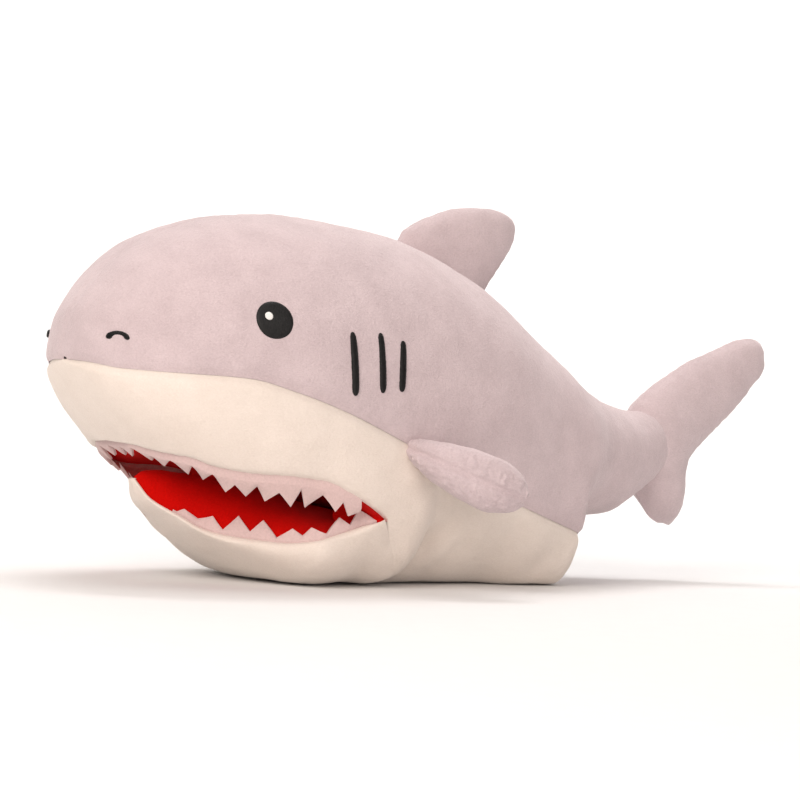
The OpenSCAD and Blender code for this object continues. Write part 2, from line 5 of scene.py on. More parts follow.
import bpy
import numpy as np
from mathutils import Matrix, Vector, noise


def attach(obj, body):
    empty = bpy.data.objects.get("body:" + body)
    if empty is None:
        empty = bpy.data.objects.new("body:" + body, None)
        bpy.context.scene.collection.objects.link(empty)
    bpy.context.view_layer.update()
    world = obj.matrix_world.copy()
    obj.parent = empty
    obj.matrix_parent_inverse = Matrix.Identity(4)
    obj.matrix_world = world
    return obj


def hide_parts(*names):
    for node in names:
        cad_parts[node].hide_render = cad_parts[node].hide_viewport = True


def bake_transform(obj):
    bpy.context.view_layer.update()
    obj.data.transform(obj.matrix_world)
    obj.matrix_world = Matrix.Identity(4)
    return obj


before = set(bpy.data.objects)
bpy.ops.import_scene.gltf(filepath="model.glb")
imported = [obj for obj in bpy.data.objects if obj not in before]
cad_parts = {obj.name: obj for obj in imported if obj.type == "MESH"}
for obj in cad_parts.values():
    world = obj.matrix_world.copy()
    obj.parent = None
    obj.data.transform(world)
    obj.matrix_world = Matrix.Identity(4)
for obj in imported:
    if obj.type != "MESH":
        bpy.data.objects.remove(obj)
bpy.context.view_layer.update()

MM = 0.001  # lengths below are in millimetres, as in the CAD source, and meshes are made in metres
REST_HEIGHT = 4  # heights are measured from a level this far above the floor

# ---------- stations, the CAD source's with the lip, belly end and fins fitted more closely ----------

# Trunk: y, half width, top, bottom, height of the widest place
TRUNK = [
    (-225, 72, 172, 0, 99), (-170, 74, 175, 0, 96), (-110, 76, 176, -7, 92), (-55, 74, 171, -10, 86),
    (-5, 67, 154, -10, 80), (38, 54.5, 127.5, -11, 74), (47, 52.6, 122, -11, 73), (55, 50.8, 116.5, -5, 72),
    (59, 49.8, 113.5, 11, 71), (62, 49, 111, 26, 70.5), (70, 46, 105.5, 29, 69), (79, 41, 101, 30, 68),
    (105, 31, 92, 32, 65), (121, 25, 89.5, 40, 65), (136, 19, 89.5, 49, 67), (143, 16, 87, 53, 68),
    (152, 12, 83, 57, 69),
]
NOSE_Y, NOSE_Z, FULL_Y = -225, 99, -110
NOSE_TOP_N, NOSE_BOTTOM_N, NOSE_SIDE_N, SECTION_N = 2.25, 1.3, 2.3, 2.2
# Colour seam and upper lip: y, z
SEAM = [
    (-225, 99), (-215, 96), (-165, 94.5), (-140, 89), (-110, 80), (-78, 68), (-30, 49), (10, 37),
    (47, 26.5), (59, 23),
]
LIP = [
    (-198, 61.2), (-191, 57.3), (-185, 55.7), (-180, 54.6), (-168, 50.2), (-154, 48.3), (-137, 47.9),
    (-118, 46), (-107, 41.8), (-98, 37.8), (-84, 30),
]
LIP_FRONT, CORNER_Y, CORNER_Z, BELLY_END = -198, -84, 30, 59
# Jaw: y, half width, lip height, bottom
JAW = [
    (-185, 2.5, 44.5, 42), (-180, 8.5, 36, 33), (-168, 17.5, 28, 24), (-157, 25, 21.5, 16.5),
    (-147, 33.5, 19, 10.5), (-138, 43, 18, 5.5), (-130, 52, 17.5, 1), (-121, 60, 18.8, -3.5),
    (-113, 64.5, 20.6, -6), (-100, 65.5, 23.6, -8), (-84, 62, 30, -8),
]
JAW_FRONT = -185
# Middle of the tongue, with its padding: y, z
TONGUE = [
    (-183.5, 45), (-178, 48), (-170, 48.5), (-160, 47.5), (-146, 46.5), (-125, 43), (-105, 37.5), (-84, 33),
    (-66, 30),
]
# The seam behind the jaw runs back this far for each millimetre below the mouth corner
CREASE_SLOPE = 0.62
STEM_END = 151


def curve(rows, column):
    """Smooth curve through one column of a station table, without overshoot."""
    x = np.array([r[0] for r in rows], float)
    v = np.array([r[column] for r in rows], float)
    h = np.diff(x)
    s = np.diff(v) / h
    m = np.concatenate([s[:1], np.zeros(len(x) - 2), s[-1:]])
    for i in range(1, len(x) - 1):
        a, b = s[i - 1], s[i]
        if a * b > 0:
            m[i] = 3 * (h[i - 1] + h[i]) / ((2 * h[i] + h[i - 1]) / a + (h[i] + 2 * h[i - 1]) / b)

    def value(y):
        y = np.clip(y, x[0], x[-1])
        i = np.clip(np.searchsorted(x, y, side="right") - 1, 0, len(x) - 2)
        t = (y - x[i]) / h[i]
        return (
            (2 * t**3 - 3 * t**2 + 1) * v[i] + (t**3 - 2 * t**2 + t) * h[i] * m[i]
            + (3 * t**2 - 2 * t**3) * v[i + 1] + (t**3 - t**2) * h[i] * m[i + 1]
        )

    return value


trunk_w, trunk_top, trunk_bottom, trunk_mid = (curve(TRUNK, c) for c in (1, 2, 3, 4))
seam_z, lip_z, tongue_z = curve(SEAM, 1), curve(LIP, 1), curve(TONGUE, 1)
jaw_w, jaw_lip, jaw_bottom = (curve(JAW, c) for c in (1, 2, 3))


def rounding(y, start, full, n):
    """Share of the full section at y, rounded from start to full with exponent n."""
    s = np.clip((y - start) / (full - start), 1e-6, 1)
    return (1 - (1 - s) ** n) ** (1 / n)


def smooth(a, b, x):
    """Smooth step from 0 at a to 1 at b."""
    t = np.clip((x - a) / (b - a), 0, 1)
    return t * t * (3 - 2 * t)


def low_n(y):
    """Exponent of the trunk's section below its widest place: boxier behind the mouth corner and
    where the belly ends."""
    cheek = 0.9 * smooth(-125, -90, y) * (1 - smooth(-66, -46, y))
    return SECTION_N + cheek + 1.8 * smooth(0, 45, y) * (1 - smooth(58, 72, y))


def jaw_n(y):
    """Exponent of the jaw's section: pointed in front, flatter behind."""
    return 1.7 + 0.6 * np.clip((y + 150) / 35, 0, 1)


def spow(v, e):
    """Power that keeps the sign."""
    return np.sign(v) * np.abs(v) ** e


def section(y):
    """Half width, top, bottom and widest height of the trunk at y."""
    low = rounding(y, NOSE_Y, FULL_Y, NOSE_BOTTOM_N)
    return (
        trunk_w(y) * rounding(y, NOSE_Y, FULL_Y, NOSE_SIDE_N),
        NOSE_Z + (trunk_top(y) - NOSE_Z) * rounding(y, NOSE_Y, FULL_Y, NOSE_TOP_N),
        NOSE_Z + (trunk_bottom(y) - NOSE_Z) * low,
        NOSE_Z + (trunk_mid(y) - NOSE_Z) * low,
    )


# How softly the cloth turns up from the floor, and how far it is pressed in there
FLOOR_ROUND, FLOOR_PRESS = 3.0, 0.2


def on_floor(z):
    """Height pressed flat by the floor, with a rounded edge."""
    h = z + REST_HEIGHT
    return 0.5 * (h + np.sqrt(h * h + FLOOR_ROUND**2)) - FLOOR_PRESS - REST_HEIGHT


def trunk_raw(y, a):
    """Trunk surface before the floor flattens it, at y and angle a: 0 on top, 90 at the left side."""
    w, top, bottom, mid = section(y)
    s, c = np.sin(np.radians(a)), np.cos(np.radians(a))
    n = np.where(c > 0, SECTION_N, low_n(y))
    z = mid + np.where(c > 0, top - mid, mid - bottom) * spow(c, 2 / n)
    return np.stack([w * spow(s, 2 / n), y + 0 * z, z], -1)


def flattened(p):
    """Points with their heights pressed flat by the floor."""
    return np.stack([p[..., 0], p[..., 1], on_floor(p[..., 2])], -1)


def trunk_point(y, a):
    return flattened(trunk_raw(y, a))


def angle_at(y, z):
    """Angle at which the trunk's section at y has height z."""
    w, top, bottom, mid = section(y)
    q = np.where(z >= mid, (z - mid) / (top - mid), (mid - z) / (mid - bottom))
    n = np.where(z >= mid, SECTION_N, low_n(y))
    a = np.degrees(np.arccos(np.clip(q, 0, 1) ** (n / 2)))
    return np.where(z >= mid, a, 180 - a)


# ---------- meshes ----------


def mesh_object(name, points, faces, shade=True):
    """Mesh object from points in millimetres above the rest level."""
    mesh = bpy.data.meshes.new(name)
    lift = np.array([0, 0, REST_HEIGHT])
    mesh.from_pydata([tuple((p + lift) * MM) for p in points], [], faces)
    mesh.validate()
    mesh.update()
    if shade:
        mesh.polygons.foreach_set("use_smooth", [True] * len(mesh.polygons))
    obj = bpy.data.objects.new(name, mesh)
    bpy.context.scene.collection.objects.link(obj)
    return obj


def grid_faces(rows, cols, start=0, flip=False, ring=False):
    """Quads of a grid whose first point is number start; a ring's last column joins its first."""
    faces = []
    for i in range(rows - 1):
        for j in range(cols if ring else cols - 1):
            k = (j + 1) % cols
            row, after = start + i * cols, start + (i + 1) * cols
            face = (row + j, row + k, after + k, after + j)
            faces.append(face[::-1] if flip else face)
    return faces


def joined(name, parts):
    """One object from several grids: parts lists (grid, flip), and which faces to keep if not all."""
    points, faces = [], []
    for grid, flip, *keep in parts:
        own = grid_faces(grid.shape[0], grid.shape[1], len(points), flip)
        if keep:
            own = [face for face, kept in zip(own, keep[0].ravel()) if kept]
        faces += own
        points += list(grid.reshape(-1, 3))
    used = sorted({i for face in faces for i in face})
    number = {old: new for new, old in enumerate(used)}
    return mesh_object(name, [points[i] for i in used], [tuple(number[i] for i in f) for f in faces])


def grid_object(name, grid, flip=False):
    return joined(name, [(grid, flip)])


def unit(v):
    """Vectors scaled to length 1."""
    return v / np.maximum(np.linalg.norm(v, axis=-1, keepdims=True), 1e-9)


def grid_normals(grid, ring=False):
    """Unit normals of a grid: along its columns' direction times along its rows."""
    if ring:
        across = np.roll(grid, -1, 1) - np.roll(grid, 1, 1)
    else:
        across = np.gradient(grid, axis=1)
    return unit(np.cross(across, np.gradient(grid, axis=0)))


def lengths(grid, axis):
    """Distance travelled along an axis of the grid, from its first point."""
    step = np.linalg.norm(np.diff(grid, axis=axis), axis=-1)
    zero = np.zeros_like(np.take(step, [0], axis=axis))
    return np.cumsum(np.concatenate([zero, step], axis=axis), axis=axis)


def noise_field(points, size, seed):
    """Smooth noise from about -1 to 1 at every point, with features of the given size."""
    flat = points.reshape(-1, 3) / size
    shift = Vector((seed * 7.3, seed * 3.1, seed * 5.7))
    return np.array([noise.noise(Vector(p) + shift) for p in flat]).reshape(points.shape[:-1])


def near_path(points, path):
    """Distance from every point to a broken line."""
    best = np.full(points.shape[:-1], 1e9)
    for a, b in zip(path[:-1], path[1:]):
        ab = b - a
        t = np.clip(((points - a) @ ab) / (ab @ ab), 0, 1)
        best = np.minimum(best, np.linalg.norm(points - a - t[..., None] * ab, axis=-1))
    return best


def side_path(places):
    """Line on the left side of the trunk through places given as (y, z)."""
    y, z = (np.array(v, float) for v in zip(*places))
    t = np.linspace(0, len(y) - 1, 6 * len(y))
    y, z = np.interp(t, range(len(y)), y), np.interp(t, range(len(z)), z)
    return trunk_point(y, angle_at(y, z))


def mirrored(grid):
    """The same points on the other side of the middle plane."""
    return grid * np.array([-1.0, 1.0, 1.0])


def clustered(count, ends=0.5):
    """Shares from 0 to 1, closer together at both ends."""
    t = np.linspace(0, 1, count)
    return (1 - ends) * t + ends * 0.5 * (1 - np.cos(math.pi * t))


def resampled(line, shares):
    """Points of a line at shares of its length."""
    s = lengths(line[:, None], 0)[:, 0]
    return np.stack([np.interp(shares * s[-1], s, line[:, c]) for c in range(line.shape[1])], -1)


# ---------- how the cloth lies ----------

SEAM_DEPTH, SEAM_WIDTH = 2.0, 2.2
PUCKER_DEPTH, PUCKER_LENGTH, PUCKER_REACH = 0.4, 7.5, 7.0


def seam_dip(distance, along, seed, depth=SEAM_DEPTH):
    """How far a panel dips into a seam, with the small puckers beside the stitches."""
    groove = depth * np.exp(-((distance / SEAM_WIDTH) ** 1.6))
    phase = 2 * math.pi * along / PUCKER_LENGTH + 2.5 * np.sin(along / 23 + seed)
    pucker = PUCKER_DEPTH * (0.5 + 0.5 * np.cos(phase)) * np.exp(-distance / PUCKER_REACH)
    return groove + pucker * smooth(0, 1.5, distance) * min(1, depth)


# Soft creases and dents in the plush: places (y, z) on the trunk's side, depth, width
CREASES = [
    ([(-59, -4), (-51, 8), (-45, 18), (-34, 30), (-20, 40)], 4.5, 8),
    ([(-46, 16), (-46, 28), (-45, 42)], 2.0, 8),
    ([(-83, 31), (-79, 25), (-74, 19)], 1.2, 5),
    ([(-36, 2), (-27, 14), (-22, 26)], 1.2, 6),
    ([(28, 6), (36, 13), (46, 18)], 1.8, 7),
    ([(68, 32), (76, 42), (88, 50)], 1.2, 9),
    ([(-60, 44), (-48, 40), (-34, 38)], 1.6, 7),
]
CREASE_PATHS = [(side_path(places), depth, width) for places, depth, width in CREASES]


def cloth_offset(grid):
    """Lumps of the filling less the depth of the creases, the same on every panel."""
    offset = 0.9 * noise_field(grid, 38, 3) + 0.35 * noise_field(grid, 13, 5) + 0.12 * noise_field(grid, 5, 6)
    for path, depth, width in CREASE_PATHS:
        for line in (path, mirrored(path)):
            offset = offset - depth * np.exp(-((near_path(grid, line) / width) ** 2))
    return offset


def trunk_rows(start, end, step=2.4):
    """Rows along the trunk, closer together on the nose and where the belly ends."""
    turn = np.linspace(0.6, 90, 64)
    head = NOSE_Y + (FULL_Y - NOSE_Y) * (1 - np.cos(np.radians(turn)))
    body = np.arange(FULL_Y + step, BELLY_END - 9, step)
    close = np.linspace(BELLY_END - 8, BELLY_END + 8, 21)
    rows = np.concatenate([head, body, close, np.arange(BELLY_END + 10, STEM_END, step), [STEM_END]])
    return rows[(rows >= start) & (rows <= end + 1e-6)]


def seam_angle(y):
    """Angle of the colour seam, held past the end of the belly."""
    y = np.minimum(y, BELLY_END)
    return angle_at(y, seam_z(y))


def grey_skin(side):
    """Grey back of one side, from the middle seam to the colour seam, and all round the tail's stem.
    Returns the grid and which of its faces belong to the grey cloth."""
    upper, lower = 64, 30
    y = trunk_rows(NOSE_Y, STEM_END)[:, None]
    edge = seam_angle(y)
    below = edge + (180 - edge) * np.linspace(0, 1, lower + 1)[None, 1:]
    grid = trunk_point(y, np.concatenate([edge * clustered(upper)[None, :], below], 1))
    if side < 0:
        grid = mirrored(grid)
    from_top, along = lengths(grid, 1), lengths(grid, 0)
    nose = 0.35 + 0.65 * smooth(NOSE_Y, NOSE_Y + 60, y)
    middle = seam_dip(from_top, along, 1 + side, 1.3) * nose
    aside = np.abs(from_top[:, upper - 1 : upper] - from_top)
    behind = np.maximum(y - BELLY_END, 0)
    is_lower = np.arange(upper + lower)[None, :] >= upper
    from_seam = np.where(is_lower, behind, np.hypot(aside, behind))
    colour = seam_dip(from_seam, along, 5, SEAM_DEPTH * 0.8)
    grid = grid + side * grid_normals(grid) * (cloth_offset(grid) - middle - colour)[..., None]
    grid[:, 0, 0] = 0
    grid[:, -1, 0] = 0
    keep = (y[:-1] >= BELLY_END - 1e-6) | (np.arange(upper + lower - 1)[None, :] < upper - 1)
    return grid, keep


def crease_z(y):
    """Height, before flattening, of the seam behind the jaw."""
    return CORNER_Z - (y - CORNER_Y) / CREASE_SLOPE


def cream_low_angle(y):
    """Lower edge of the cream skin: the upper lip, then the seam behind the jaw, then the middle line."""
    a = np.where(y < CORNER_Y, angle_at(y, lip_z(y)), angle_at(y, crease_z(y)))
    return np.where(y < LIP_FRONT, 180, a)


def cream_skin(side):
    """Cream cloth of one side, from the colour seam to the lip and the belly's middle line."""
    y = trunk_rows(NOSE_Y, BELLY_END + 3)[:, None]
    top, low = seam_angle(y), cream_low_angle(y)
    grid = trunk_point(y, top + (low - top) * clustered(60)[None, :])
    if side < 0:
        grid = mirrored(grid)
    from_top, along = lengths(grid, 1), lengths(grid, 0)
    colour = seam_dip(from_top, along, 5)
    to_edge = from_top[:, -1:] - from_top
    at_edge = smooth(LIP_FRONT - 1, LIP_FRONT + 5, y) * (1 - smooth(-63, -60, y))
    lip = seam_dip(to_edge, along, 9, 2.2) * at_edge * (1 - 0.9 * smooth(CORNER_Y - 1, CORNER_Y + 5, y))
    tuck = 2.2 * smooth(BELLY_END - 1.5, BELLY_END + 1, y)
    grid = grid + side * grid_normals(grid) * (cloth_offset(grid) - colour - lip - tuck)[..., None]
    grid[low[:, 0] > 179.9, -1, 0] = 0
    return grid


# ---------- jaw ----------

LIP_ROLL = 2.6  # radius of the lower lip's rolled edge
RIM_COLUMN = 3  # column of the jaw's grid that runs along the top of the roll


def jaw_grid():
    """Cream cover of the jaw: columns run from the left lip under the chin to the right lip."""
    share = np.linspace(0, 1, 46)
    angle = np.concatenate([share, 2 - share[-2::-1]])
    depth = np.minimum(angle, 2 - angle)
    corner = angle_at(CORNER_Y, CORNER_Z)
    at = corner + (180 - corner) * depth
    end = np.full_like(at, float(CORNER_Y))
    for _ in range(20):
        end = CORNER_Y + CREASE_SLOPE * (CORNER_Z - trunk_raw(end, at)[..., 2])
    rows = 1 - np.cos(np.radians(np.linspace(0, 90, 70)))
    rows = np.concatenate([[0, 0.0006, 0.003], rows[4:]])
    y = JAW_FRONT + rows[:, None] * (end - JAW_FRONT)
    front = np.minimum(y, CORNER_Y)
    w, lip, low = jaw_w(front), jaw_lip(front), jaw_bottom(front)
    roll = np.minimum(LIP_ROLL, 0.35 * (lip - low)) * (1 - 0.93 * smooth(CORNER_Y - 14, CORNER_Y, front))
    turn = np.radians(90 * depth)
    n = jaw_n(y)
    x = w * np.cos(turn) ** (2 / n)
    z = lip - roll - (lip - roll - low) * np.sin(turn) ** (2 / n)
    own = np.stack([x, y, z], -1)
    edge = angle_at(front, lip)
    as_trunk = trunk_raw(y, edge + (180 - edge) * depth)
    merge = smooth(end - 34, end - 3, y)[..., None]
    grid = flattened(own + (as_trunk - own) * merge)
    grid[..., 0] *= np.where(angle > 1, -1, 1)
    grid[0, :, 0] = 0
    normal = grid_normals(grid)
    to_end = end - y
    crease = seam_dip(to_end, lengths(grid, 1), 9, 0.2)
    grid = grid + normal * (cloth_offset(grid) - crease)[..., None]
    sides = []
    for j, sign in ((0, 1), (-1, -1)):
        edge_line = grid[:, j]
        along = np.gradient(edge_line, axis=0)
        inward = unit(np.stack([-along[:, 1] * sign, along[:, 0] * sign, 0 * along[:, 0]], -1))
        r = roll[:, 0][:, None]
        up = np.array([0, 0, 1.0])
        cols = [edge_line + r * ((1 - math.cos(t)) * inward + math.sin(t) * up)
                for t in np.radians(range(15, 136, 15))]
        sides.append(np.stack(cols, 1))
    return np.concatenate([sides[0][:, ::-1], grid, sides[1]], 1)


RIM = jaw_grid()[:, RIM_COLUMN]


def jaw_rim(y):
    """Half width and height of the top of the rolled lower lip at y."""
    return np.interp(y, RIM[:, 1], RIM[:, 0]), np.interp(y, RIM[:, 1], RIM[:, 2])


# ---------- mouth lining ----------


def tongue_grid():
    """Padded red lining of the jaw, between the lower lips."""
    share = 1 - np.cos(np.radians(np.linspace(3, 90, 60)))
    y = (JAW_FRONT + 1.5 + share * (-66 - JAW_FRONT))[:, None]
    t = np.sin(np.radians(np.linspace(-90, 90, 61)))[None, :]
    front = np.minimum(y, CORNER_Y)
    half = np.maximum(jaw_w(front) - 3.2 + 2.4 * smooth(-104, -88, y), 0.4)
    edge = jaw_lip(front) - 1.8 * smooth(JAW_FRONT, JAW_FRONT + 6, y) * (1 - smooth(-100, -86, y)) - 0.5
    middle = np.maximum(tongue_z(y), edge + 0.5)
    z = edge + (middle - edge) * (1 - np.abs(t) ** 2.2)
    grid = np.stack([half * t, y + 0 * t, z], -1)
    return grid + np.array([0, 0, 1.0]) * (0.5 * noise_field(grid, 20, 31))[..., None]


def palate_grid():
    """Red lining of the upper jaw, arched up from the upper lips and closed at the throat."""
    share = 1 - np.cos(np.radians(np.linspace(2, 90, 60)))
    y = (-194.5 + share * (-64 + 194.5))[:, None]
    t = np.sin(np.radians(np.linspace(-90, 90, 61)))[None, :]
    lip = np.minimum(y, CORNER_Y)
    inset = 1.8 + 2.2 * (1 - smooth(-190, -160, y))
    half = np.maximum(trunk_raw(lip, angle_at(lip, lip_z(lip)))[..., 0] - inset, 0.3)
    rise = 10 * np.minimum(1, half / 55) * (1 - smooth(-108, -72, y))
    z = lip_z(lip) + 0.5 + rise * (1 - t**2) + 1.5 * (1 - t**4) * (1 - smooth(-84, -70, y))
    grid = np.stack([half * t, y + 0 * t, z - 0.8 * smooth(-84, -66, y)], -1)
    return grid + np.array([0, 0, 1.0]) * (0.4 * noise_field(grid, 16, 33) * (1 - t**8))[..., None]


def corner_web(side):
    """Red lining folded in between the upper and the lower lip at a mouth corner."""
    y = np.linspace(-101, CORNER_Y + 3, 16)[:, None]
    front = np.minimum(y, CORNER_Y)
    upper_x = trunk_raw(front, angle_at(front, lip_z(front)))[..., 0] - 1.2
    rim_x, rim_z = jaw_rim(front)
    lower_x = rim_x - 0.2
    share = np.linspace(0, 1, 13)[None, :]
    fold = np.sin(math.pi * share)
    deep = 1.5 + 16 * (1 - smooth(-101, CORNER_Y, y))
    x = upper_x + (lower_x - upper_x) * share - deep * fold**0.7
    z = lip_z(front) + 0.6 + (rim_z - 1.4 - lip_z(front)) * share
    grid = np.stack([x, y + 0 * x, z + 0.4 * fold], -1)
    grid = grid + np.array([1.0, 0, 0]) * (0.4 * noise_field(grid, 9, 37) * fold)[..., None]
    return grid if side > 0 else mirrored(grid)


# ---------- materials ----------


def new_material(name, colour, roughness):
    """Material with its nodes, its links and its main shader."""
    mat = bpy.data.materials.new(name)
    mat.use_nodes = True
    nodes, links = mat.node_tree.nodes, mat.node_tree.links
    shader = nodes["Principled BSDF"]
    shader.inputs["Base Color"].default_value = (*colour, 1)
    shader.inputs["Roughness"].default_value = roughness
    shader.inputs["Specular IOR Level"].default_value = 0.15
    return mat, nodes, links, shader


def noise_node(nodes, links, coords, scale, detail, rough=0.5, stretch=None):
    """Noise on the object's own coordinates, stretched along an axis if asked."""
    tex = nodes.new("ShaderNodeTexNoise")
    tex.inputs["Scale"].default_value = scale
    tex.inputs["Detail"].default_value = detail
    tex.inputs["Roughness"].default_value = rough
    source = coords
    if stretch:
        mapping = nodes.new("ShaderNodeMapping")
        mapping.inputs["Scale"].default_value = stretch
        links.new(coords, mapping.inputs["Vector"])
        source = mapping.outputs["Vector"]
    links.new(source, tex.inputs["Vector"])
    return tex.outputs["Fac"]


def math_node(nodes, links, operation, a, b):
    node = nodes.new("ShaderNodeMath")
    node.operation = operation
    for i, v in enumerate((a, b)):
        if hasattr(v, "is_linked"):
            links.new(v, node.inputs[i])
        else:
            node.inputs[i].default_value = v
    return node.outputs[0]


def mix_colour(nodes, links, factor, a, b):
    """Colour from a to b over the middle of a factor's range."""
    ramp = nodes.new("ShaderNodeValToRGB")
    ramp.color_ramp.elements[0].color = (*a, 1)
    ramp.color_ramp.elements[1].color = (*b, 1)
    ramp.color_ramp.elements[0].position = 0.3
    ramp.color_ramp.elements[1].position = 0.7
    links.new(factor, ramp.inputs["Fac"])
    return ramp.outputs["Color"]


def plush(name, light, dark, sheen_tint, pile=1.0):
    """Short brushed pile: fine fibre bump, patches where the nap lies another way, velvet sheen."""
    mat, nodes, links, shader = new_material(name, light, 0.95)
    coords = nodes.new("ShaderNodeTexCoord").outputs["Object"]
    nap = noise_node(nodes, links, coords, 55, 4, 0.6)
    fibre = noise_node(nodes, links, coords, 1500, 3, 0.65, (1, 0.55, 1))
    tuft = noise_node(nodes, links, coords, 420, 3, 0.6)
    tone = math_node(nodes, links, "ADD", math_node(nodes, links, "MULTIPLY", nap, 0.45),
                     math_node(nodes, links, "MULTIPLY", fibre, 0.55))
    links.new(mix_colour(nodes, links, tone, dark, light), shader.inputs["Base Color"])
    shader.inputs["Sheen Weight"].default_value = 0.55
    shader.inputs["Sheen Roughness"].default_value = 0.45
    shader.inputs["Sheen Tint"].default_value = (*sheen_tint, 1)
    height = math_node(nodes, links, "ADD", math_node(nodes, links, "MULTIPLY", fibre, 0.6),
                       math_node(nodes, links, "MULTIPLY", tuft, 0.8))
    bump = nodes.new("ShaderNodeBump")
    bump.inputs["Strength"].default_value = 0.55 * pile
    bump.inputs["Distance"].default_value = 0.0012
    links.new(height, bump.inputs["Height"])
    links.new(bump.outputs["Normal"], shader.inputs["Normal"])
    return mat


def felt(name, light, dark, sheen):
    """Flat, matted cloth with a fine fibre bump."""
    mat, nodes, links, shader = new_material(name, light, 0.97)
    coords = nodes.new("ShaderNodeTexCoord").outputs["Object"]
    fibre = noise_node(nodes, links, coords, 900, 5, 0.7)
    links.new(mix_colour(nodes, links, fibre, dark, light), shader.inputs["Base Color"])
    shader.inputs["Sheen Weight"].default_value = sheen
    shader.inputs["Specular IOR Level"].default_value = 0.05
    bump = nodes.new("ShaderNodeBump")
    bump.inputs["Strength"].default_value = 0.4
    bump.inputs["Distance"].default_value = 0.0006
    links.new(fibre, bump.inputs["Height"])
    links.new(bump.outputs["Normal"], shader.inputs["Normal"])
    return mat


def thread(name, light, dark, roughness, specular):
    """Embroidery thread with fine strands."""
    mat, nodes, links, shader = new_material(name, light, roughness)
    coords = nodes.new("ShaderNodeTexCoord").outputs["Object"]
    strand = noise_node(nodes, links, coords, 2200, 2, 0.5, (1, 1, 0.3))
    links.new(mix_colour(nodes, links, strand, dark, light), shader.inputs["Base Color"])
    shader.inputs["Specular IOR Level"].default_value = specular
    bump = nodes.new("ShaderNodeBump")
    bump.inputs["Strength"].default_value = 0.5
    bump.inputs["Distance"].default_value = 0.0003
    links.new(strand, bump.inputs["Height"])
    links.new(bump.outputs["Normal"], shader.inputs["Normal"])
    return mat


GREY = plush("grey_plush", (0.645, 0.53, 0.54), (0.48, 0.385, 0.395), (1.0, 0.91, 0.91))
CREAM = plush("cream_plush", (0.79, 0.70, 0.63), (0.70, 0.61, 0.54), (1.0, 0.95, 0.90), 0.7)
RED = felt("red_lining", (0.60, 0.004, 0.002), (0.50, 0.002, 0.001), 0.03)
FELT = felt("felt_teeth", (0.67, 0.50, 0.48), (0.57, 0.42, 0.40), 0.2)
BLACK = thread("black_thread", (0.012, 0.011, 0.011), (0.003, 0.003, 0.003), 0.5, 0.25)
WHITE = thread("white_thread", (0.85, 0.83, 0.80), (0.7, 0.68, 0.66), 0.5, 0.5)


def finish_piece(obj, material, body=None, nodes=()):
    """Give a piece its material and slot, the body it rides on and the CAD nodes it stands for."""
    obj.data.materials.append(material)
    if body:
        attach(obj, body)
    if nodes:
        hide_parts(*nodes)
    return obj


# ---------- trunk and mouth ----------


def with_jaw(piece):
    """Bake the placement of a jaw piece into its mesh; the piece is not bent."""
    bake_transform(piece)


for side, word in ((1, "left"), (-1, "right")):
    grid, keep = grey_skin(side)
    skin = joined(f"back_skin_{word}", [(grid, side < 0, keep)])
    nodes = [f"back_cover_{word}", f"tail_cover_{word}"]
    if side > 0:
        nodes += ["head_stuffing", "body_stuffing", "tail_stuffing"]
    finish_piece(skin, GREY, None, nodes)
    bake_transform(skin)

cream = joined("cream_skin", [(cream_skin(1), False), (cream_skin(-1), True)])
finish_piece(cream, CREAM, "trunk",
             ["upper_lip_cover_left", "upper_lip_cover_right", "belly_cover"])
jaw_skin = joined("jaw_skin", [(jaw_grid(), False)])
finish_piece(jaw_skin, CREAM, None, ["jaw_cover", "jaw_stuffing"])
with_jaw(jaw_skin)
webs = [(corner_web(1), False), (corner_web(-1), True)]
tongue_piece = joined("tongue_pad", [(tongue_grid(), True), *webs])
finish_piece(tongue_piece, RED, None, ["tongue_lining"])
with_jaw(tongue_piece)
palate = joined("palate_pad", [(palate_grid(), False)])
finish_piece(palate, RED, "trunk", ["palate_lining"])


# ---------- felt teeth ----------

FELT_T = 1.2  # thickness of the felt
ROOT_LEVELS = (-1.5, 0, 1.2, 2.6)  # rows of the strip's root, measured from the lip
ROOT_TUCK, ROOT_OUT = -1.5, -0.3  # how far behind the lip's surface the root starts and ends
UPPER_COUNT, LOWER_COUNT = 25, 8


def teeth(count, band, height, jitter, seed):
    """Zigzag of count felt teeth: shares along the strip, and the felt's height there.
    band and height give the valleys and tips as functions of the share."""
    edges = np.arange(count + 1) / count
    wander = jitter * np.sin(2.7 * np.arange(count) + seed) / count
    peaks = (np.arange(count) + 0.5) / count + wander
    knots = np.sort(np.concatenate([edges, peaks]))
    tall = height(peaks) * (1 + 0.07 * np.sin(5.1 * np.arange(count) + seed))
    short = band(edges) * (1 + 0.15 * np.sin(3.3 * np.arange(count + 1) + seed))
    values = np.zeros(2 * count + 1)
    values[0::2], values[1::2] = short, tall
    fine = np.interp(np.arange(0, 2 * count + 0.01, 0.25), range(2 * count + 1), knots)
    return fine, np.interp(fine, knots, values)


def felt_strip(root, down, out, drop, curl):
    """Points of the felt's two faces, as grids. The root is tucked in behind the lip's edge."""
    front = []
    for level in ROOT_LEVELS:
        tuck = ROOT_TUCK + (ROOT_OUT - ROOT_TUCK) * smooth(-1.5, 3.5, level)
        front.append(root + down * level + out * tuck)
    for part in (0.25, 0.5, 0.75, 1.0):
        reach = ROOT_LEVELS[-1] + (drop - ROOT_LEVELS[-1]) * part
        front.append(root + down * reach[:, None] + out * (ROOT_OUT + curl * part**2)[:, None])
    front = np.stack(front, 1)
    return front, front - out[:, None] * FELT_T


